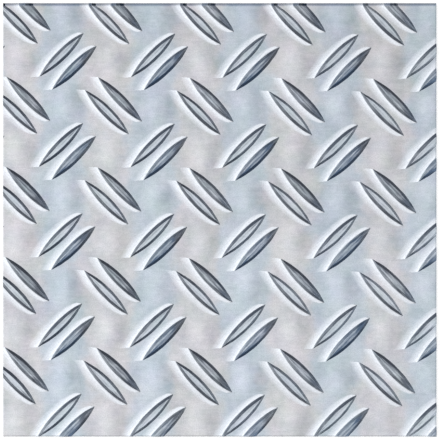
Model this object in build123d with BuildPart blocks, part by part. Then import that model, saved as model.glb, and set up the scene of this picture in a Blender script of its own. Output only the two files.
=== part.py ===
from build123d import *
from math import ceil, hypot
import os

# A square piece of aluminium tread plate with a two-bar pattern, in millimetres.
# The sheet lies flat. Its underside is the plane Z = 0, +Z points up through the pattern, and
# the origin is the middle of the underside. It is rolled in one piece: the bars are not fixed
# to the sheet, but raised from it by the engraved roll, and the sheared edges run through them.

# The sheet as it is cut from stock
sheet_width = 200.0  # along X, the rolling direction
sheet_depth = 200.0  # along Y
ground_gauge = 2.5  # thickness between the bars

# One raised bar, as it stands on the ground surface
bar_length = 28.7  # from tip to tip
bar_width = 4.7  # across the middle of its foot
bar_height = 1.5  # above the ground surface, at the middle of the crown
flank_draft = 35.0  # degrees that each flank leans in from upright
crown_end_drop = 0.3  # that the crown line falls from the middle to each tip

# How the bars are set out
bar_spacing = 8.3  # between the centre lines of the two bars of a pair
bar_angle = 45.0  # degrees between a bar and the rolling direction
pitch_along = 42.3  # along X, from a pair to the next one that lies the same way
pitch_across = 41.6  # the same, along Y
pattern_turn = -0.32  # degrees that the pattern is out of square with the sheared edges
pattern_start_x = 14.3  # from the middle of the sheet to the middle of one rising pair
pattern_start_y = -10.3  # the same, along Y

# One bar: a pointed foot of two arcs, drawn in by its flanks and trimmed by its crown, which is
# level across the bar and falls in an arc towards both tips. It stands on Z = 0 along X.
with BuildPart() as raised_bar:
    with BuildSketch():
        with BuildLine():
            tip_left = (-bar_length / 2, 0)
            tip_right = (bar_length / 2, 0)
            ThreePointArc(tip_right, (0, bar_width / 2), tip_left)
            ThreePointArc(tip_left, (0, -bar_width / 2), tip_right)
        make_face()
    extrude(amount=1.1 * bar_height, taper=flank_draft)

    end_height = bar_height - crown_end_drop
    with BuildSketch(Plane.XZ):
        with BuildLine():
            crown_line = ThreePointArc(
                (bar_length / 2, end_height), (0, bar_height), (-bar_length / 2, end_height)
            )
            Polyline(
                crown_line @ 1,
                (-bar_length / 2, -bar_height),
                (bar_length / 2, -bar_height),
                crown_line @ 0,
            )
        make_face()
    extrude(amount=bar_width, both=True, mode=Mode.INTERSECT)

# The two bars of a pair lie side by side. Every other pair is set half a pitch along and half
# a pitch across, and lies the other way, so that the pairs interlock.
side_by_side = GridLocations(0, bar_spacing, 1, 2).locations
rising_place = Location((0, 0, 0), (0, 0, bar_angle))
falling_place = Location((pitch_along / 2, pitch_across / 2, 0), (0, 0, -bar_angle))
bars_of_repeat = [
    pair_place * bar_place
    for pair_place in (rising_place, falling_place)
    for bar_place in side_by_side
]


def repeats_to_cover(pitch):
    """How many repeats at this pitch cover the sheet, wherever the pattern starts and turns."""
    start_distance = hypot(pattern_start_x, pattern_start_y)
    reach = hypot(sheet_width, sheet_depth) / 2 + start_distance + bar_length
    return 2 * ceil(reach / pitch) + 1


def could_reach_sheet(bar_place):
    """Whether a bar here could reach the sheet. The others are not worth raising."""
    inside_x = abs(bar_place.position.X) < (sheet_width + bar_length) / 2
    inside_y = abs(bar_place.position.Y) < (sheet_depth + bar_length) / 2
    return inside_x and inside_y


pattern_origin = Location((pattern_start_x, pattern_start_y, ground_gauge), (0, 0, pattern_turn))
repeat_places = GridLocations(
    pitch_along, pitch_across, repeats_to_cover(pitch_along), repeats_to_cover(pitch_across)
)
bar_places = [
    pattern_origin * repeat_place * bar_place
    for repeat_place in repeat_places.locations
    for bar_place in bars_of_repeat
]

# The sheet: the ground with every bar raised from it, then sheared square to its size
with BuildSketch() as sheared_outline:
    Rectangle(sheet_width, sheet_depth)

with BuildPart() as tread_sheet:
    extrude(sheared_outline.sketch, amount=ground_gauge)
    with Locations(*filter(could_reach_sheet, bar_places)):
        add(raised_bar.part)
    extrude(sheared_outline.sketch, amount=ground_gauge + bar_height, mode=Mode.INTERSECT)

tread_sheet.part.label = "tread_sheet"

os.makedirs("parts", exist_ok=True)
export_step(tread_sheet.part, "parts/tread_sheet.step")
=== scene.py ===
import math
import random
from collections import namedtuple

import bmesh
import bpy
from mathutils import Matrix, Vector


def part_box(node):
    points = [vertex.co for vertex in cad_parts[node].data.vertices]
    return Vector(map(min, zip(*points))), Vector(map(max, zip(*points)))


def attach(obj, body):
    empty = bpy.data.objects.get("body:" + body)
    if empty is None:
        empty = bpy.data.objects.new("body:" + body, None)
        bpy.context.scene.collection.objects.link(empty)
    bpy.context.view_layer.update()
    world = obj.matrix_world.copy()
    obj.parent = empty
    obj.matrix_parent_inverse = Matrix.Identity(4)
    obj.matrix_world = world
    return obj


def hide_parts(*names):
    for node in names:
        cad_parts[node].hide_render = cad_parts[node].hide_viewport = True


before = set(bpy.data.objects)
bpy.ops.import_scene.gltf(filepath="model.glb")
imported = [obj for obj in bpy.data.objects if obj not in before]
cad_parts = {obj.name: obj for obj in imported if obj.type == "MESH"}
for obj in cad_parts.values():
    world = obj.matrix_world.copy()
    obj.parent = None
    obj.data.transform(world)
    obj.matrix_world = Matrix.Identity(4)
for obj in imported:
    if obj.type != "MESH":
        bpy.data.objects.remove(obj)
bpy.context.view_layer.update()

# The dressed aluminium tread plate. Lengths are in metres, and MM turns a size in millimetres
# into metres. The sheet's outline and its height come from the frame. Directions on the sheet
# are named as on a map: west is -X, which is the left, and north is +Y, which is the back.
MM = 0.001
SHEET_LOW, SHEET_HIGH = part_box("tread_sheet")
SHEET_MIDDLE = (SHEET_LOW + SHEET_HIGH) / 2
HALF_SIZE = (SHEET_HIGH - SHEET_LOW) / 2

# The same rolled bars, in the same places, as on the solid sheet
GROUND_GAUGE = 2.5 * MM  # thickness between the bars
BAR_LENGTH = 28.7 * MM  # from tip to tip
BAR_WIDTH = 4.7 * MM  # across the middle of its foot
BAR_HEIGHT = SHEET_HIGH.z - GROUND_GAUGE
FLANK_DRAFT = math.radians(35)  # that each flank leans in from upright
CROWN_END_DROP = 0.3 * MM  # that the crown line falls from the middle to each tip
BAR_SPACING = 8.3 * MM  # between the two bars of a pair
BAR_ANGLE = math.radians(45)
PITCH_ALONG = 42.3 * MM
PITCH_ACROSS = 41.6 * MM
PATTERN_TURN = math.radians(-0.32)
PATTERN_START = Vector((14.3, -10.3, 0)) * MM
BAR_REACH = BAR_LENGTH * 0.55  # a bar with its middle further off the sheet doesn't touch it
GROUND_SPARE = 1.5 * BAR_LENGTH  # that the ground reaches past the sheet before it is sheared

# A bar is modelled along X, with its west tip at -X and its west side at +Y. Its rings are placed
# from circles: how far along the bar and across it a point lies goes from -1 to 1.
LOOP_POINTS = 48
WEST_OF_BAR = Vector((-math.cos(BAR_ANGLE), math.sin(BAR_ANGLE), 0))
WEST_SIDE_STARTS = (math.radians(-12), math.radians(3))  # angles round the bar, at its east tip
WEST_SIDE_ENDS = (-math.pi, math.radians(-158))  # and past its west tip
ON_AXIS = 1e-5  # a point of the circle this near to the bar's line is a tip
DOUBLES = 0.002 * MM  # points nearer than this are one

# The metal runs up to each bar from the west in a shallow slope, which carries a painted
# highlight. These rings lie round the foot, from the outside in: how far out, how far drawn to
# the west, how high there, how strong the painted highlight is on the west side and on the east
# side, and how much of the east flank's painted shade spreads so far.
RunIn = namedtuple("RunIn", "outset reach lift burnish burnish_east east_film")
RUN_IN_RINGS = (
    RunIn(0.60 * MM, 3.75 * MM, 0.00 * MM, 0.00, 0.00, 0.0),
    RunIn(0.40 * MM, 3.35 * MM, 0.01 * MM, 0.16, 0.05, 0.0),
    RunIn(0.30 * MM, 2.20 * MM, 0.08 * MM, 0.45, 0.25, 0.0),
    RunIn(0.15 * MM, 0.90 * MM, 0.20 * MM, 0.80, 0.30, 0.2),
    RunIn(0.00 * MM, 0.10 * MM, 0.34 * MM, 0.95, 0.00, 0.9),
)
WEST_LEAD = 0.12  # by which the run-in reaches further at the bar's west tip
EAST_LAG = 0.15  # by which it reaches less far at the east tip
EAST_END = (0.3, 0.9)  # along the bar, where its east end starts and is complete
EAST_END_FLATTER = 0.6  # by which the run-in is lower there
EAST_END_BRIGHTER = 1.2  # by which its painted highlight is brighter there

# The rings up the flank: how high, as a share, and how much of its painted shade lies there
FLANK_RINGS = ((0.10, 0.8), (0.35, 1.0), (0.80, 1.0), (1.0, 0.9))
CROWN_SHARES = (0.76, 0.28, 0.0)  # the rings over the crown, as shares of its half width
CREASE_LENGTH = 0.94  # of the crown's own length
WEST_TIP_SPARE = 0.35 * MM  # that the foot reaches beyond the bar's length at its west tip
EAST_TIP_SPARE = -0.32 * MM
TIP_BLUNTNESS = 0.2  # of the west side's east end, where 0 is an arc
EASE_TURN = 0.5  # more of the ease at the west tip than in the middle, and less at the east tip

# How far a bar departs from the even form: how far its foot's west tip and east tip bend to the
# west, how much wider its foot is on its west side, and how far its west flank eases into the
# crown. The crown is hollow or round by a few hundredths, and leans to the east. The foot is
# fuller than two arcs, by these powers of the place along the bar, and most so on the east side
# towards the west tip.
Wear = namedtuple("Wear", "west_bend east_bend spread ease hollow lean fullness fullness_east")
WEST_WEAR = Wear(0.15 * MM, 0.0 * MM, 0.07 * MM, 0.27 * MM, 0.06 * MM, 0.00, 2.2, 2.15)
EAST_WEAR = Wear(0.05 * MM, -0.12 * MM, 0.0 * MM, 0.42 * MM, -0.03 * MM, 0.02, 2.2, 2.35)

# How much painted shade lies on each flank of a bar, on both sides of its crown, in the crease
# between them and more on the crown's two tips. The east tip's painted shade starts this far
# along, and the crown has this much painted highlight. The east bar of a pair is painted darker.
PaintedLight = namedtuple(
    "PaintedLight", "west_flank east_flank west_crown east_crown crease west_tip east_tip tip_from rub"
)
WEST_PAINTED_LIGHT = PaintedLight(0.86, 0.63, 0.03, -0.08, 0.25, 0.24, 0.17, 0.28, 0.20)
EAST_PAINTED_LIGHT = PaintedLight(0.62, 1.02, 0.34, 0.58, 0.70, 0.42, 0.40, 0.29, 0.0)
WEST_SHADE_TURN = 0.32  # more painted shade on the west flank's east end than in its middle
EAST_SHADE_TURN = -0.34  # the same on the east flank
FLANK_TIP = (0.8, 1.0)  # along the bar, where the flanks' painted shade thins towards the east tip
FLANK_TIP_THINNER = 0.35  # by which it has thinned there
CROWN_BLEND = 0.3  # across the bar, over which one side of the crown turns into the other
EAST_TIP_FADE = 0.4  # along the bar, over which the crown's east tip darkens
WEST_TIP_FADE = (0.3, 0.8)  # towards the west tip, where that one starts and is complete
ON_BAR = 0.85  # how bluish the bars' own metal is, and how far the roll dragged it in lines
SHADE_SPREAD = 0.13  # from bar to bar
BAR_SEED = 4
FLANK_FADE = 0.42 / (100 * MM)  # by which the west bars' east flanks lose painted shade eastwards

# How blue the painted shade of each bar is: the west bar and the east bar of a rising pair, then
# of a falling pair
SHADE_BLUEING = (0.2, 0.85, 0.4, 0.3)

# The sheared edge: a shoulder that the blade drew down, a cut land, then a torn face that leans
# in. For each side: which way is out, over how much width the blade drew it down, and how far.
# It drew the back down the furthest, and over the greatest width.
Side = namedtuple("Side", "out drawn_width drop")
BACK = Side(Vector((0, 1, 0)), 1.15 * MM, 0.45 * MM)
SIDES = (
    Side(Vector((-1, 0, 0)), 0.15 * MM, 0.3 * MM),
    Side(Vector((1, 0, 0)), 0.45 * MM, 0.3 * MM),
    Side(Vector((0, -1, 0)), 0.40 * MM, 0.3 * MM),
    BACK,
)
SHOULDER_STEPS = 5
SHOULDER_CURVE = 1.5  # the power by which the shoulder steepens outwards
BAR_DRAW = 1.2  # how much further the bars are drawn down along the back, as a share
LEVEL_STRIP = 0.4 * MM  # marked off beside the shoulder, so that its shading ends there
CUT_FINENESS = 0.001 * MM  # a cut goes through the points this near, and not past them
ON_CUT = 0.02 * MM  # a point this near to a cut was made by it
LAND_SHARE = 0.55  # of the edge's height, from the top down to the end of the cut land
TEAR_LEAN = 0.12 * MM
BURR_ROUND = 0.1 * MM
CRISP_ANGLE = math.radians(42)  # faces that meet at more than this keep a crisp edge

# Painted shade along the back edge: how dark, and how much less where there is painted
# highlight and on the bars' west sides.
BACK_SHADE = 0.35
HIGHLIGHT_SPARED = 0.6
WEST_SPARED = 0.6
BACK_EDGE_BLUEING = 2.0  # marks this painted shade, whose dark blue is not that of the bars' painted shade


def smooth_step(low, high, value):
    """0 below low, 1 above high, and a smooth rise between them."""
    share = min(max((value - low) / (high - low), 0.0), 1.0)
    return share * share * (3 - 2 * share)


def west_share(along, side):
    """1 where this place on the circle is on the bar's west side or west tip, and 0 elsewhere."""
    around = math.atan2(side, along)
    if around > -math.pi / 2:
        return smooth_step(*WEST_SIDE_STARTS, around)
    return 1 - smooth_step(*WEST_SIDE_ENDS, around)


def lead(along):
    """How far the run-in is drawn out, by the place from the west tip to the east tip."""
    return 1.0 - WEST_LEAD * along if along < 0 else 1.0 - EAST_LAG * along**2


def run_in_lift(ring, along, share):
    """Height of this ring of the run-in, with the share of the west side that it has here."""
    return ring.lift * share * (1 - EAST_END_FLATTER * smooth_step(*EAST_END, along))


def across_at(wear, along, side, foot_share):
    """How far across the bar its edge lies here: 1 at its widest on the west, -1 on the east.
    The foot's share fades from 1 at the foot to 0 at the crown."""
    power = wear.fullness_east if side < 0 and along < 0 else wear.fullness
    power = 2 + (power - 2) * foot_share
    bluntness = TIP_BLUNTNESS * foot_share if along > 0 and side > 0 else 0.0
    width = (1 - min(abs(along), 1.0) ** power) ** (1 - bluntness)
    return math.copysign(width, side) if side else 0.0


def bend_at(wear, along):
    """How far the foot's tips bend to the west here, along Y."""
    return (wear.west_bend if along < 0 else wear.east_bend) * along**2


def ease_at(wear, along):
    """How far the west flank eases into the crown here, along Y."""
    return wear.ease * (1 - EASE_TURN * along)


def tip_spare(along):
    """How far past the bar's own length the foot reaches here, along X."""
    return (WEST_TIP_SPARE if along < 0 else EAST_TIP_SPARE) * along


def half_size_at(rise):
    """Half the bar's length and width where its flank has risen by this share of its height."""
    lean = math.tan(FLANK_DRAFT) * rise
    half_width = BAR_WIDTH / 2 - lean * BAR_HEIGHT
    half_length = BAR_LENGTH / 2 * math.sqrt(half_width / (BAR_WIDTH / 2 - lean * CROWN_END_DROP))
    return half_length, half_width


def crown_top(wear, x, across):
    """Height of the crown above the ground, across from -1 at its east edge to 1 at its west."""
    crown_line = BAR_HEIGHT - CROWN_END_DROP * (2 * x / BAR_LENGTH) ** 2
    edge_drop = max(-wear.hollow, 0) * across**2
    middle_drop = max(wear.hollow, 0) * (1 - across**2)
    half_width = half_size_at(1)[1]
    return crown_line - edge_drop - middle_drop - wear.lean * half_width * (1 - across)


def next_ring(bm, edges):
    """Extrudes a loop of edges, and returns the new loop's points and edges."""
    made = bmesh.ops.extrude_edge_only(bm, edges=edges)["geom"]
    points = [g for g in made if isinstance(g, bmesh.types.BMVert)]
    fresh = set(points)
    loop = [g for g in made if isinstance(g, bmesh.types.BMEdge) and set(g.verts) <= fresh]
    return points, loop


# What each point of a bar keeps: its place on the circle, how much painted shade lies there, how
# strong its painted highlight is, how far it is the bar's own metal, and its place on the bar
Kept = namedtuple("Kept", "circle_x circle_y residue burnish on_bar bar_place")


def shape_run_in(points, kept, ring, wear, painted_light):
    """Places one ring of the slope round the foot."""
    half_length, half_width = half_size_at(0)
    for point in points:
        along, side = point[kept.circle_x], point[kept.circle_y]
        share = west_share(along, side)
        x = along * (half_length + ring.outset) + tip_spare(along)
        across = across_at(wear, along, side, 1)
        y = (half_width + ring.outset) * across
        y += bend_at(wear, along) + wear.spread * max(across, 0)
        drawn_west = WEST_OF_BAR * (ring.reach * share * lead(along))
        point.co = Vector((x, y, run_in_lift(ring, along, share))) + drawn_west
        # Painted highlight on the run-in, with some of the east flank's painted shade
        brighter = 1 + EAST_END_BRIGHTER * smooth_step(*EAST_END, along)
        west_highlight = min(1, ring.burnish * brighter)
        point[kept.burnish] = ring.burnish_east + (west_highlight - ring.burnish_east) * share
        point[kept.residue] = ring.east_film * (1 - share) * painted_light.east_flank


def shape_flank(points, kept, rise, shade_paint, wear, painted_light):
    """Places one ring of the flanks, where they have risen by this share of their height."""
    half_length, half_width = half_size_at(rise)
    for point in points:
        along, side = point[kept.circle_x], point[kept.circle_y]
        share = west_share(along, side)
        x = along * half_length + tip_spare(along) * (1 - rise)
        across = across_at(wear, along, side, 1 - rise)
        y = half_width * across + bend_at(wear, along) * (1 - rise)
        y += (wear.spread * (1 - rise) - ease_at(wear, along) * rise) * max(across, 0)
        lift = run_in_lift(RUN_IN_RINGS[-1], along, share)
        point.co = (x, y, lift + (crown_top(wear, x, across) - lift) * rise)
        # Painted shade on the flanks
        west_shade = painted_light.west_flank + WEST_SHADE_TURN * along
        east_film = painted_light.east_flank + EAST_SHADE_TURN * along
        thinner = 1 - FLANK_TIP_THINNER * smooth_step(*FLANK_TIP, along)
        point[kept.residue] = shade_paint * (east_film + (west_shade - east_film) * share) * thinner
        point[kept.burnish] = 0
        point[kept.on_bar] = ON_BAR


def shape_crown(points, kept, crown_share, wear, painted_light):
    """Places one ring of the crown, at this share of its half width from the crease."""
    half_length, half_width = half_size_at(1)
    length_share = CREASE_LENGTH + (1 - CREASE_LENGTH) * crown_share
    for point in points:
        along, side = point[kept.circle_x], point[kept.circle_y]
        x = along * half_length * length_share
        across = across_at(wear, along, side, 0) * crown_share
        y = half_width * across - ease_at(wear, along) * max(across, 0)
        point.co = (x, y, crown_top(wear, x, across))
        # Painted highlight and painted shade on the crown, its crease and its tips
        point[kept.burnish] = painted_light.rub
        on_west = smooth_step(-CROWN_BLEND, CROWN_BLEND, side)
        shade_paint = painted_light.east_crown + (painted_light.west_crown - painted_light.east_crown) * on_west
        if crown_share == 0:
            shade_paint = painted_light.crease
        at_east_tip = smooth_step(painted_light.tip_from, painted_light.tip_from + EAST_TIP_FADE, along)
        shade_paint += painted_light.east_tip * (1 + on_west) * at_east_tip
        shade_paint += painted_light.west_tip * (1 - on_west) * smooth_step(*WEST_TIP_FADE, -along)
        point[kept.residue] = shade_paint


def make_bar(name, wear, painted_light):
    """One bar with its run-in, standing on Z = 0."""
    bm = bmesh.new()
    layers = [bm.verts.layers.float.new(layer) for layer in Kept._fields[:-1]]
    kept = Kept(*layers, bm.verts.layers.float_vector.new(Kept._fields[-1]))

    points = bmesh.ops.create_circle(bm, segments=LOOP_POINTS, radius=1)["verts"]
    loop = bm.edges[:]
    for point in points:
        point[kept.circle_x] = point.co.x
        point[kept.circle_y] = 0.0 if abs(point.co.y) < ON_AXIS else point.co.y

    shape_run_in(points, kept, RUN_IN_RINGS[0], wear, painted_light)
    for ring in RUN_IN_RINGS[1:]:
        points, loop = next_ring(bm, loop)
        shape_run_in(points, kept, ring, wear, painted_light)
    for rise, shade_paint in FLANK_RINGS:
        points, loop = next_ring(bm, loop)
        shape_flank(points, kept, rise, shade_paint, wear, painted_light)
    for crown_share in CROWN_SHARES:
        points, loop = next_ring(bm, loop)
        shape_crown(points, kept, crown_share, wear, painted_light)
    for point in bm.verts:
        point[kept.bar_place] = point.co
    bmesh.ops.remove_doubles(bm, verts=bm.verts, dist=DOUBLES)

    bar = bpy.data.meshes.new(name)
    bm.to_mesh(bar)
    bm.free()
    return bar


def bars_on_sheet():
    """For the bars on or near the sheet: each one's mesh, its place, how blue its painted shade is
    and how much of its painted shade its east flank has lost."""
    west_bar = make_bar("west_bar", WEST_WEAR, WEST_PAINTED_LIGHT)
    east_bar = make_bar("east_bar", EAST_WEAR, EAST_PAINTED_LIGHT)
    turned = Matrix.Translation(PATTERN_START) @ Matrix.Rotation(PATTERN_TURN, 4, "Z")
    to_falling = Vector((PITCH_ALONG / 2, PITCH_ACROSS / 2, 0))
    repeats = math.ceil(2 * HALF_SIZE.x / PITCH_ACROSS)
    for step_along in range(-repeats, repeats + 1):
        for step_across in range(-repeats, repeats + 1):
            start = Vector((step_along * PITCH_ALONG, step_across * PITCH_ACROSS, GROUND_GAUGE))
            rising = Matrix.Translation(start) @ Matrix.Rotation(BAR_ANGLE, 4, "Z")
            falling = Matrix.Translation(start + to_falling) @ Matrix.Rotation(-BAR_ANGLE, 4, "Z")
            falling = falling @ Matrix.Diagonal((1, -1, 1, 1))
            bars = (
                (rising, west_bar), (rising, east_bar),
                (falling, west_bar), (falling, east_bar),
            )
            for (pair, bar), blue in zip(bars, SHADE_BLUEING):
                to_bar = BAR_SPACING / 2 if bar is west_bar else -BAR_SPACING / 2
                place = turned @ pair @ Matrix.Translation((0, to_bar, 0))
                away = place.translation - SHEET_MIDDLE
                faded = FLANK_FADE * away.x if bar is west_bar else 0.0
                near_x = abs(away.x) < HALF_SIZE.x + BAR_REACH
                near_y = abs(away.y) < HALF_SIZE.y + BAR_REACH
                if near_x and near_y:
                    yield bar, place, blue, faded


def place_bars(bm):
    """Puts every bar in its place, each with its own strength of painted shade and lines in it."""
    chance = random.Random(BAR_SEED)
    for bar, place, blue, faded in bars_on_sheet():
        placed = bar.copy()
        placed.transform(place)
        # How strong this bar's painted shade is
        shade_paint = chance.uniform(1 - SHADE_SPREAD, 1 + SHADE_SPREAD)
        sides = placed.attributes["circle_y"].data
        for value, side in zip(placed.attributes["residue"].data, sides):
            value.value *= shade_paint * (1 - faded) if side.value < 0 else shade_paint
        blueing = placed.attributes.new("blueing", "FLOAT", "POINT")
        blueing.data.foreach_set("value", [blue] * len(placed.vertices))
        off_to = Vector((chance.uniform(0, 1), 0, chance.uniform(0, 1)))
        for value in placed.attributes["bar_place"].data:
            value.vector = Vector(value.vector) + off_to
        bm.from_mesh(placed)
        bpy.data.meshes.remove(placed)


def open_edges(bm):
    """The edges that have only one face, or none."""
    return [edge for edge in bm.edges if len(edge.link_faces) < 2]


def fill_ground(bm):
    """Fills the ground between the bars, on a square larger than the sheet."""
    corner_reach = (HALF_SIZE.x + GROUND_SPARE) * math.sqrt(2)
    at_ground = Matrix.Translation((SHEET_MIDDLE.x, SHEET_MIDDLE.y, GROUND_GAUGE))
    square_on = at_ground @ Matrix.Rotation(math.radians(45), 4, "Z")
    bmesh.ops.create_circle(bm, segments=4, radius=corner_reach, matrix=square_on)
    bmesh.ops.triangle_fill(bm, use_beauty=True, edges=open_edges(bm), normal=(0, 0, 1))


def shear_back(bm):
    """Cuts the sheet back along its four sides, to where the drawn-down shoulder starts, and
    marks off the level strip beside it."""
    for side in SIDES:
        for inset, cut_off in ((0, True), (LEVEL_STRIP, False)):
            bmesh.ops.bisect_plane(
                bm,
                geom=bm.verts[:] + bm.edges[:] + bm.faces[:],
                dist=CUT_FINENESS,
                plane_co=SHEET_MIDDLE + side.out * (HALF_SIZE.x - side.drawn_width - inset),
                plane_no=side.out,
                clear_outer=cut_off,
            )


def sides_at(point):
    """The sides of the sheet whose cut a point lies on: one, or two at a corner."""
    away = point.co - SHEET_MIDDLE
    return [
        side for side in SIDES
        if away.dot(side.out) > HALF_SIZE.x - side.drawn_width - ON_CUT
    ]


def paint_back_edge_shade(bm, rim):
    """Paints shade along the back edge, most where the bars have painted shade of their own."""
    residue, burnish, blueing, on_bar, circle_y = (
        bm.verts.layers.float[name]
        for name in ("residue", "burnish", "blueing", "on_bar", "circle_y")
    )
    for point in {point for edge in rim for point in edge.verts}:
        if BACK in sides_at(point):
            # Painted shade along the back edge, less under painted highlight and on the bars' west
            # sides
            shade_paint = BACK_SHADE * (1 - HIGHLIGHT_SPARED * point[burnish])
            shade_paint *= 1 + min(point[residue], 1.0)
            shade_paint *= 1 - WEST_SPARED * point[on_bar] * max(point[circle_y], 0)
            point[residue] = 1 - (1 - point[residue]) * (1 - shade_paint)
            point[blueing] = BACK_EDGE_BLUEING


def draw_shoulder(bm, loop):
    """Draws the whole profile over and down, bars and all, and returns the loop that ends it."""
    stride = 1 / SHOULDER_STEPS
    for step in range(1, SHOULDER_STEPS + 1):
        points, loop = next_ring(bm, loop)
        share_down = stride**SHOULDER_CURVE * (step**SHOULDER_CURVE - (step - 1) ** SHOULDER_CURVE)
        for point in points:
            raised = max(point.co.z - GROUND_GAUGE, 0) / BAR_HEIGHT
            furthest = 0
            for side in sides_at(point):
                point.co += side.out * (side.drawn_width * stride)
                drop = side.drop * (1 + BAR_DRAW * raised) if side is BACK else side.drop
                furthest = max(furthest, drop)
            point.co.z -= furthest * share_down
    for point in points:
        for side in sides_at(point):
            axis = 0 if side.out.x else 1
            point.co[axis] = (SHEET_HIGH if side.out[axis] > 0 else SHEET_LOW)[axis]
    return loop


def cut_edge(bm, loop):
    """Adds the cut land, the torn face and the rounded foot of the edge below the shoulder."""
    points, loop = next_ring(bm, loop)
    for point in points:
        point.co.z *= 1 - LAND_SHARE
    for inwards, height in ((TEAR_LEAN, BURR_ROUND), (BURR_ROUND, 0)):
        points, loop = next_ring(bm, loop)
        for point in points:
            for side in sides_at(point):
                point.co -= side.out * inwards
            point.co.z = height
    return loop


def make_sheet():
    """The whole sheet as one closed mesh: bars, ground, sheared edges and underside."""
    bm = bmesh.new()
    place_bars(bm)
    fill_ground(bm)
    shear_back(bm)
    rim = open_edges(bm)
    paint_back_edge_shade(bm, rim)
    loop = draw_shoulder(bm, rim)
    rolled = set(bm.faces)
    loop = cut_edge(bm, loop)
    sheared = set(bm.faces) - rolled
    bmesh.ops.contextual_create(bm, geom=loop)
    for face in bm.faces:
        face.smooth = True
        face.material_index = 0 if face in rolled else 1 if face in sheared else 2
    bmesh.ops.recalc_face_normals(bm, faces=bm.faces)
    return bm


def sheet_object():
    """The sheet in the scene, without the values that only its modelling needs."""
    bm = make_sheet()
    for name in ("circle_x", "circle_y"):
        bm.verts.layers.float.remove(bm.verts.layers.float[name])
    mesh = bpy.data.meshes.new("tread_plate")
    bm.to_mesh(mesh)
    bm.free()
    mesh.set_sharp_from_angle(angle=CRISP_ANGLE)
    sheet = bpy.data.objects.new("tread_plate", mesh)
    bpy.context.scene.collection.objects.link(sheet)
    return sheet


def linear(hex_colour):
    """An sRGB hex colour as linear red, green, blue and alpha."""
    channels = [int(hex_colour[i:i + 2], 16) / 255 for i in (1, 3, 5)]
    return [c / 12.92 if c <= 0.04045 else ((c + 0.055) / 1.055) ** 2.4 for c in channels] + [1.0]


def socket(sockets, key):
    """The socket of this number, or the one in use that has this name."""
    if isinstance(key, int):
        return sockets[key]
    return next(s for s in sockets if s.enabled and s.name == key)


def add_node(tree, kind, settings=None, links=None):
    """Adds a node. Settings name its properties, or inputs by name or number, and a hex value is
    a colour. Links name inputs and the nodes that feed them, or a node with its output's name."""
    node = tree.nodes.new(kind)
    for key, value in (settings or {}).items():
        if isinstance(value, str) and value.startswith("#"):
            value = linear(value)
        if isinstance(key, str) and hasattr(node, key):
            setattr(node, key, value)
        else:
            socket(node.inputs, key).default_value = value
    for key, source in (links or {}).items():
        source, name = source if isinstance(source, tuple) else (source, None)
        if name is None:
            name = next(s.name for s in source.outputs if s.enabled)
        tree.links.new(socket(source.outputs, name), socket(node.inputs, key))
    return node


def new_material(name):
    """A material with an empty node tree, and that tree."""
    material = bpy.data.materials.new(name)
    material.use_nodes = True
    material.node_tree.nodes.clear()
    return material, material.node_tree


# The rolled face is bluer in some columns of the pattern and warmer in others. The edges of these
# stripes wander, and the stripes widen and narrow over longer distances. The blue starts and is
# complete at these sums of the pattern's wave, the wander and the drift.
COLUMN_START = 0.4  # radians of the repeat
WANDER_SIZE = 12 * MM
WANDER = 2.5
DRIFT_SIZE = 50 * MM
DRIFT = 2.0
BLUE_STARTS = 1.80
BLUE_COMPLETE = 2.80

# Each open island between the pairs is painted lighter on its left and darker on its right, as
# painted light and shade. Over that lie cloudy blotches of three sizes, and faint streaks along
# the rolling direction: how large, how many times as long as wide, and how strong. All of it is
# painted darker towards the back, as painted shade.
BASE_LEVEL = 0.466  # to which the others are added
ISLAND_PAINTED_LIGHT = 0.16
CLOUDS = ((60 * MM, 1, 0.12), (10 * MM, 1, 0.30), (2.5 * MM, 1, 0.19), (0.9 * MM, 8, 0.12))
LEVEL_AT_FRONT = 1.04
LEVEL_AT_BACK = 0.92

# The faint play of hues over the bare metal
HUE_SIZE = 10 * MM
HUE_STRENGTH = 0.045

# The painted shade along the back edge is blue where it is thin, and turns almost black
# between these two depths.
DEEP_SHADE = (0.4, 0.85)

# The painted shade and the painted highlight lie in streaked lines along each bar. The painted
# shade along the back edge is more even.
LINE_LENGTH = 5 * MM
LINE_WIDTH = 0.6 * MM
LINE_STRENGTH = 0.38
LINE_SPAN = (0.25, 0.75)  # the noise's own low and high
LINES_COMPLETE = 0.1  # depth of painted shade from which the lines show in full
BACK_EDGE_EVENNESS = 0.7

# A fine grain lies over all of it. The real one is finer than it is drawn here.
GRAIN_SIZE = 0.5 * MM
GRAIN_STRENGTH = 0.21

MILL_ROUGHNESS = 0.36
HIGHLIGHT_ROUGHNESS = 0.28


def column_blueness(tree, place, pattern):
    """How blue the metal's column is, from 0 to 1."""
    column = add_node(
        tree, "ShaderNodeMath", {"operation": "ADD", 1: COLUMN_START}, {0: (pattern, "X")}
    )
    column = add_node(tree, "ShaderNodeMath", {"operation": "COSINE"}, {0: column})
    for size, detail, strength in ((WANDER_SIZE, 3.0, WANDER), (DRIFT_SIZE, 1.0, DRIFT)):
        noise = add_node(
            tree, "ShaderNodeTexNoise", {"Scale": 1 / size, "Detail": detail},
            {"Vector": (place, "Object")},
        )
        column = add_node(
            tree, "ShaderNodeMath", {"operation": "MULTIPLY_ADD", 1: strength},
            {0: noise, 2: column},
        )
    return add_node(
        tree, "ShaderNodeMapRange",
        {"interpolation_type": "SMOOTHSTEP", "From Min": BLUE_STARTS, "From Max": BLUE_COMPLETE},
        {"Value": column},
    )


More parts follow.
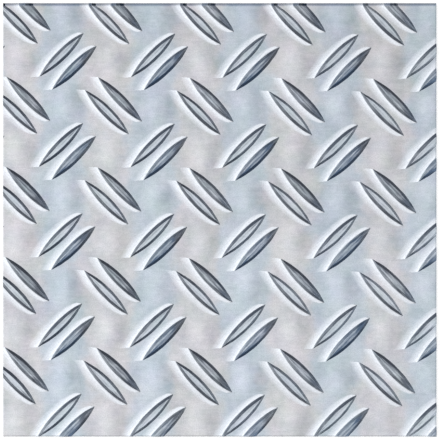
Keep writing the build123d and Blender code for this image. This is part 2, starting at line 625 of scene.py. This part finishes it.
def ground_level(tree, place, pattern):
    """How bright the metal is: painted light and shade on its islands, its clouds, and painted
    shade towards the back.
    """
    across_x = add_node(tree, "ShaderNodeMath", {"operation": "COSINE"}, {0: (pattern, "X")})
    across_y = add_node(tree, "ShaderNodeMath", {"operation": "COSINE"}, {0: (pattern, "Y")})
    island = add_node(
        tree, "ShaderNodeMath", {"operation": "MULTIPLY"}, {0: across_x, 1: across_y}
    )
    island = add_node(
        tree, "ShaderNodeMapRange", {"From Min": 0.0, "From Max": -1.0}, {"Value": island}
    )
    # Two islands lie along one repeat, so this wave goes twice through it.
    leftness = add_node(
        tree, "ShaderNodeMath", {"operation": "MULTIPLY", 1: -2.0}, {0: (pattern, "X")}
    )
    leftness = add_node(tree, "ShaderNodeMath", {"operation": "SINE"}, {0: leftness})
    # Painted light on each island's left and painted shade on its right
    painted_lit = add_node(
        tree, "ShaderNodeMath", {"operation": "MULTIPLY"}, {0: island, 1: leftness}
    )
    level = add_node(
        tree, "ShaderNodeMath", {"operation": "MULTIPLY_ADD", 1: ISLAND_PAINTED_LIGHT, 2: BASE_LEVEL},
        {0: painted_lit},
    )
    for size, stretch, strength in CLOUDS:
        drawn_out = add_node(
            tree, "ShaderNodeMapping", {"Scale": (1 / (size * stretch), 1 / size, 1 / size)},
            {"Vector": (place, "Object")},
        )
        clouds = add_node(
            tree, "ShaderNodeTexNoise", {"Scale": 1.0, "Detail": 1.0}, {"Vector": drawn_out}
        )
        level = add_node(
            tree, "ShaderNodeMath", {"operation": "MULTIPLY_ADD", 1: strength},
            {0: clouds, 2: level},
        )
    # Painted shade: the metal is darker towards the back
    on_sheet = add_node(tree, "ShaderNodeSeparateXYZ", {}, {"Vector": (place, "Object")})
    towards_back = add_node(
        tree, "ShaderNodeMapRange",
        {"From Min": SHEET_LOW.y, "From Max": SHEET_HIGH.y,
         "To Min": LEVEL_AT_FRONT, "To Max": LEVEL_AT_BACK},
        {"Value": (on_sheet, "Y")},
    )
    return add_node(
        tree, "ShaderNodeMath", {"operation": "MULTIPLY"}, {0: level, 1: towards_back}
    )


def rolled_face():
    """Mill-finish aluminium from an engraved roll: bright ground, painted highlights on the
    run-ins and crowns, and painted shade on the steep flanks, the crowns and the back edge."""
    material, tree = new_material("mill_finish_rolled_aluminium")
    on_bar, blueing, residue, burnish, bar_place = (
        add_node(tree, "ShaderNodeAttribute", {"attribute_name": name})
        for name in ("on_bar", "blueing", "residue", "burnish", "bar_place")
    )
    place = add_node(tree, "ShaderNodeTexCoord")
    pattern = add_node(
        tree, "ShaderNodeMapping",
        {"vector_type": "TEXTURE", "Location": PATTERN_START, "Rotation": (0, 0, PATTERN_TURN),
         "Scale": (PITCH_ALONG / math.tau, PITCH_ACROSS / math.tau, 1)},
        {"Vector": (place, "Object")},
    )
    pattern = add_node(tree, "ShaderNodeSeparateXYZ", {}, {"Vector": pattern})
    blueness = column_blueness(tree, place, pattern)

    # The bare metal is warm or bluish, more or less bright, and shows a faint play of all hues.
    metal_blueness = add_node(
        tree, "ShaderNodeMath", {"operation": "MAXIMUM"}, {0: blueness, 1: (on_bar, "Fac")}
    )
    metal = add_node(
        tree, "ShaderNodeMix", {"data_type": "RGBA", "A": "#E4E5EA", "B": "#D6E1EC"},
        {"Factor": metal_blueness},
    )
    metal = add_node(
        tree, "ShaderNodeMix", {"data_type": "RGBA", "blend_type": "MULTIPLY", "Factor": 1.0},
        {"A": metal, "B": ground_level(tree, place, pattern)},
    )
    hues = add_node(
        tree, "ShaderNodeTexNoise", {"Scale": 1 / HUE_SIZE, "Detail": 3.0, "Roughness": 0.6},
        {"Vector": (place, "Object")},
    )
    metal = add_node(
        tree, "ShaderNodeMix",
        {"data_type": "RGBA", "blend_type": "LINEAR_LIGHT", "Factor": HUE_STRENGTH},
        {"A": metal, "B": (hues, "Color")},
    )

    # The bars' painted shade is grey, and bluer in the bluer columns.
    shade_blueness = add_node(
        tree, "ShaderNodeMath", {"operation": "MULTIPLY"}, {0: blueness, 1: (blueing, "Fac")}
    )
    shade_paint = add_node(
        tree, "ShaderNodeMix", {"data_type": "RGBA", "A": "#696F7A", "B": "#586D88"},
        {"Factor": shade_blueness},
    )
    on_back_edge = add_node(
        tree, "ShaderNodeMapRange", {"From Min": 1.0, "From Max": BACK_EDGE_BLUEING},
        {"Value": (blueing, "Fac")},
    )
    thick = add_node(
        tree, "ShaderNodeMapRange", {"From Min": DEEP_SHADE[0], "From Max": DEEP_SHADE[1]},
        {"Value": (residue, "Fac")},
    )
    # The colour of the painted shade along the back edge
    back_edge_shade = add_node(
        tree, "ShaderNodeMix", {"data_type": "RGBA", "A": "#2B5688", "B": "#1E2B3C"},
        {"Factor": thick},
    )
    shade_paint = add_node(
        tree, "ShaderNodeMix", {"data_type": "RGBA"},
        {"Factor": on_back_edge, "A": shade_paint, "B": back_edge_shade},
    )

    # The lines lie where there is painted shade, and all over the bars.
    along_bar = add_node(
        tree, "ShaderNodeMapping", {"Scale": (1 / LINE_LENGTH, 1 / LINE_WIDTH, 1 / MM)},
        {"Vector": (bar_place, "Vector")},
    )
    lines = add_node(
        tree, "ShaderNodeTexNoise", {"Scale": 1.0, "Detail": 2.0}, {"Vector": along_bar}
    )
    lines = add_node(
        tree, "ShaderNodeMapRange",
        {"From Min": LINE_SPAN[0], "From Max": LINE_SPAN[1],
         "To Min": -LINE_STRENGTH, "To Max": LINE_STRENGTH},
        {"Value": lines},
    )
    dragged = add_node(
        tree, "ShaderNodeMapRange", {"From Min": 0.0, "From Max": LINES_COMPLETE},
        {"Value": (residue, "Fac")},
    )
    dragged = add_node(
        tree, "ShaderNodeMath", {"operation": "MAXIMUM"}, {0: dragged, 1: (on_bar, "Fac")}
    )
    dragged = add_node(
        tree, "ShaderNodeMath",
        {"operation": "MULTIPLY_ADD", 1: -BACK_EDGE_EVENNESS, "use_clamp": True},
        {0: on_back_edge, 2: dragged},
    )
    shaded = add_node(
        tree, "ShaderNodeMath", {"operation": "MULTIPLY_ADD", "use_clamp": True},
        {0: lines, 1: dragged, 2: (residue, "Fac")},
    )
    painted_lit = add_node(
        tree, "ShaderNodeMath", {"operation": "MULTIPLY_ADD", "use_clamp": True},
        {0: (burnish, "Fac"), 1: lines, 2: (burnish, "Fac")},
    )
    # Painted highlight, then painted shade over it
    metal = add_node(
        tree, "ShaderNodeMix", {"data_type": "RGBA", "B": "#EDF2FA"},
        {"Factor": painted_lit, "A": metal},
    )
    metal = add_node(
        tree, "ShaderNodeMix", {"data_type": "RGBA"},
        {"Factor": shaded, "A": metal, "B": shade_paint},
    )

    grain = add_node(
        tree, "ShaderNodeTexNoise", {"Scale": 1 / GRAIN_SIZE, "Detail": 1.0},
        {"Vector": (place, "Object")},
    )
    grain = add_node(
        tree, "ShaderNodeMapRange", {"To Min": 1 - GRAIN_STRENGTH, "To Max": 1 + GRAIN_STRENGTH},
        {"Value": grain},
    )
    metal = add_node(
        tree, "ShaderNodeMix", {"data_type": "RGBA", "blend_type": "MULTIPLY", "Factor": 1.0},
        {"A": metal, "B": grain},
    )
    roughness = add_node(
        tree, "ShaderNodeMapRange", {"To Min": MILL_ROUGHNESS, "To Max": HIGHLIGHT_ROUGHNESS},
        {"Value": painted_lit},
    )
    surface = add_node(
        tree, "ShaderNodeBsdfPrincipled", {"Metallic": 1.0},
        {"Base Color": metal, "Roughness": roughness},
    )
    add_node(tree, "ShaderNodeOutputMaterial", {}, {"Surface": surface})
    return material


# The sheared edge: the smeared lines' width and length, the torn face's grain, and the height at
# which the one turns into the other, along a ragged line
SMEAR_WIDTH = 0.5 * MM
SMEAR_LENGTH = 4 * MM
TEAR_GRAIN = 0.6 * MM
TEAR_RAGGEDNESS = 0.8 * MM
LAND_STARTS = (1.4 * MM, 1.7 * MM)
LAND_ROUGHNESS = 0.32
TEAR_ROUGHNESS = 0.55
EDGE_RELIEF = 0.08 * MM  # depth of the lines and the grain, seen only in the shading
RELIEF_STRENGTH = 0.5


def sheared_edge():
    """Guillotined aluminium: a bright land, smeared downwards in fine lines by the blade, above
    a torn, grainy and duller face."""
    material, tree = new_material("sheared_aluminium")
    place = add_node(tree, "ShaderNodeTexCoord")
    height = add_node(tree, "ShaderNodeSeparateXYZ", {}, {"Vector": (place, "Object")})
    lines = add_node(
        tree, "ShaderNodeMapping",
        {"Scale": (1 / SMEAR_WIDTH, 1 / SMEAR_WIDTH, 1 / SMEAR_LENGTH)},
        {"Vector": (place, "Object")},
    )
    lines = add_node(tree, "ShaderNodeTexNoise", {"Scale": 1.0, "Detail": 2.0}, {"Vector": lines})
    grain = add_node(
        tree, "ShaderNodeTexNoise", {"Scale": 1 / TEAR_GRAIN, "Detail": 3.0},
        {"Vector": (place, "Object")},
    )
    ragged = add_node(
        tree, "ShaderNodeMath", {"operation": "MULTIPLY_ADD", 1: TEAR_RAGGEDNESS},
        {0: grain, 2: (height, "Z")},
    )
    on_land = add_node(
        tree, "ShaderNodeMapRange", {"From Min": LAND_STARTS[0], "From Max": LAND_STARTS[1]},
        {"Value": ragged},
    )
    texture = add_node(
        tree, "ShaderNodeMix", {"data_type": "FLOAT"}, {"Factor": on_land, "A": grain, "B": lines}
    )
    land = add_node(
        tree, "ShaderNodeMix", {"data_type": "RGBA", "A": "#B4BAC1", "B": "#EDF0F4"},
        {"Factor": texture},
    )
    torn = add_node(
        tree, "ShaderNodeMix", {"data_type": "RGBA", "A": "#868D96", "B": "#C9CED4"},
        {"Factor": texture},
    )
    metal = add_node(
        tree, "ShaderNodeMix", {"data_type": "RGBA"}, {"Factor": on_land, "A": torn, "B": land}
    )
    roughness = add_node(
        tree, "ShaderNodeMapRange", {"To Min": TEAR_ROUGHNESS, "To Max": LAND_ROUGHNESS},
        {"Value": on_land},
    )
    relief = add_node(
        tree, "ShaderNodeBump", {"Strength": RELIEF_STRENGTH, "Distance": EDGE_RELIEF},
        {"Height": texture},
    )
    surface = add_node(
        tree, "ShaderNodeBsdfPrincipled", {"Metallic": 1.0},
        {"Base Color": metal, "Roughness": roughness, "Normal": relief},
    )
    add_node(tree, "ShaderNodeOutputMaterial", {}, {"Surface": surface})
    return material


# The underside: the rolling lines' length and width, and the size of the stains. Where the lines
# and the stains sum to the first value it is dull and grey, and at the second bright and smooth.
ROLLING_LENGTH = 60 * MM
ROLLING_WIDTH = 0.8 * MM
STAIN_SIZE = 25 * MM
UNDERSIDE_SPAN = (0.6, 1.4)
DULL_ROUGHNESS = 0.42
SMOOTH_ROUGHNESS = 0.30


def underside():
    """Mill-finish aluminium from a plain roll: smooth and grey, with faint lines along the
    rolling direction and cloudy stains. The real lines are finer than they are drawn here."""
    material, tree = new_material("mill_finish_plain_aluminium")
    place = add_node(tree, "ShaderNodeTexCoord")
    lines = add_node(
        tree, "ShaderNodeMapping", {"Scale": (1 / ROLLING_LENGTH, 1 / ROLLING_WIDTH, 1 / MM)},
        {"Vector": (place, "Object")},
    )
    lines = add_node(tree, "ShaderNodeTexNoise", {"Scale": 1.0, "Detail": 4.0}, {"Vector": lines})
    stains = add_node(
        tree, "ShaderNodeTexNoise", {"Scale": 1 / STAIN_SIZE, "Detail": 4.0},
        {"Vector": (place, "Object")},
    )
    level = add_node(tree, "ShaderNodeMath", {"operation": "ADD"}, {0: lines, 1: stains})
    level = add_node(
        tree, "ShaderNodeMapRange",
        {"From Min": UNDERSIDE_SPAN[0], "From Max": UNDERSIDE_SPAN[1]},
        {"Value": level},
    )
    metal = add_node(
        tree, "ShaderNodeMix", {"data_type": "RGBA", "A": "#C4C9CF", "B": "#DEE1E5"},
        {"Factor": level},
    )
    roughness = add_node(
        tree, "ShaderNodeMapRange", {"To Min": DULL_ROUGHNESS, "To Max": SMOOTH_ROUGHNESS},
        {"Value": level},
    )
    surface = add_node(
        tree, "ShaderNodeBsdfPrincipled", {"Metallic": 1.0},
        {"Base Color": metal, "Roughness": roughness},
    )
    add_node(tree, "ShaderNodeOutputMaterial", {}, {"Surface": surface})
    return material


FLOOR_REACH = 8.0  # from its middle to each side
FLOOR_GAP = 0.02 * MM  # below the sheet
FLOOR_GLOW = 0.45  # what the paint in this light lacks to white


def pale_floor():
    """A wide floor under the sheet, white to the eye, that keeps the sheet's shadow."""
    bm = bmesh.new()
    below = Matrix.Translation((0, 0, SHEET_LOW.z - FLOOR_GAP))
    bmesh.ops.create_grid(bm, x_segments=1, y_segments=1, size=FLOOR_REACH, matrix=below)
    mesh = bpy.data.meshes.new("floor")
    bm.to_mesh(mesh)
    bm.free()
    floor = bpy.data.objects.new("floor", mesh)
    bpy.context.scene.collection.objects.link(floor)

    material, tree = new_material("white_floor")
    paint = add_node(tree, "ShaderNodeBsdfDiffuse", {"Color": "#F4F4F4"})
    glow = add_node(tree, "ShaderNodeEmission", {"Color": "#FFFFFF", "Strength": FLOOR_GLOW})
    path = add_node(tree, "ShaderNodeLightPath")
    seen = add_node(
        tree, "ShaderNodeMath", {"operation": "MAXIMUM"},
        {0: (path, "Is Camera Ray"), 1: (path, "Is Glossy Ray")},
    )
    seen = add_node(
        tree, "ShaderNodeMath", {"operation": "MAXIMUM"},
        {0: seen, 1: (path, "Is Transmission Ray")},
    )
    both = add_node(tree, "ShaderNodeAddShader", {}, {0: paint, 1: glow})
    mixed = add_node(tree, "ShaderNodeMixShader", {}, {0: seen, 1: paint, 2: both})
    add_node(tree, "ShaderNodeOutputMaterial", {}, {"Surface": mixed})
    mesh.materials.append(material)


# The room's brightness by direction. Each pair is a place from one end of the axis to the other
# and a level, and the three levels are multiplied.
LIGHT_EASTWARD = (
    (0.0, 1.0), (0.15, 1.4), (0.30, 1.36), (0.40, 1.22), (0.45, 1.09),
    (0.5, 1.0), (0.60, 0.93), (0.75, 0.85), (1.0, 0.8),
)
LIGHT_NORTHWARD = (
    (0.0, 0.4), (0.15, 0.55), (0.3, 0.85), (0.42, 0.96), (0.5, 1.0),
    (0.7, 0.96), (0.85, 0.66), (1.0, 0.4),
)
LIGHT_UPWARD = ((0.5, 0.75), (0.675, 0.72), (0.875, 0.96), (1.0, 0.96))


def fill_ramp(ramp, stops):
    """Sets a colour ramp's stops, each a place and a grey level."""
    while len(ramp.elements) < len(stops):
        ramp.elements.new(0.5)
    for element, (place, level) in zip(ramp.elements, stops):
        element.position = place
        element.color = (level, level, level, 1)


def studio_light():
    """A plain soft room: brightest in the west, dimmer in the east, darkest north and south."""
    world = bpy.data.worlds.new("soft_room")
    bpy.context.scene.world = world
    world.use_nodes = True
    tree = world.node_tree
    tree.nodes.clear()
    way = add_node(tree, "ShaderNodeTexCoord")
    way = add_node(tree, "ShaderNodeSeparateXYZ", {}, {"Vector": (way, "Generated")})
    levels = []
    for axis, stops in (("X", LIGHT_EASTWARD), ("Y", LIGHT_NORTHWARD), ("Z", LIGHT_UPWARD)):
        share = add_node(
            tree, "ShaderNodeMapRange", {"From Min": -1.0, "From Max": 1.0}, {"Value": (way, axis)}
        )
        level = add_node(tree, "ShaderNodeValToRGB", {}, {"Fac": share})
        fill_ramp(level.color_ramp, stops)
        levels.append(level)
    light = levels[0]
    for level in levels[1:]:
        light = add_node(
            tree, "ShaderNodeMix", {"data_type": "RGBA", "blend_type": "MULTIPLY", "Factor": 1.0},
            {"A": light, "B": level},
        )
    background = add_node(tree, "ShaderNodeBackground", {"Strength": 1.0}, {"Color": light})
    add_node(tree, "ShaderNodeOutputWorld", {}, {"Surface": background})


LENS = 200  # in its own millimetres, and so long that hardly a bar shows its side
FRAME_WIDTH = 202.80 * MM  # that the picture spans at the sheet's top
CAMERA_SHIFT = Vector((0.10, -0.07)) * MM
FURTHEST_SEEN = 100


def overhead_camera():
    """Looks straight down on the sheet through a long lens."""
    data = bpy.data.cameras.new("camera")
    data.lens = LENS
    data.clip_end = FURTHEST_SEEN
    camera = bpy.data.objects.new("camera", data)
    distance = FRAME_WIDTH * data.lens / data.sensor_width
    camera.location = (*CAMERA_SHIFT, SHEET_HIGH.z + distance)
    bpy.context.scene.collection.objects.link(camera)
    bpy.context.scene.camera = camera


sheet = sheet_object()
for material in (rolled_face(), sheared_edge(), underside()):
    sheet.data.materials.append(material)
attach(sheet, "root")
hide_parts("tread_sheet")

pale_floor()
studio_light()
overhead_camera()
bpy.context.scene.view_settings.view_transform = "Standard"
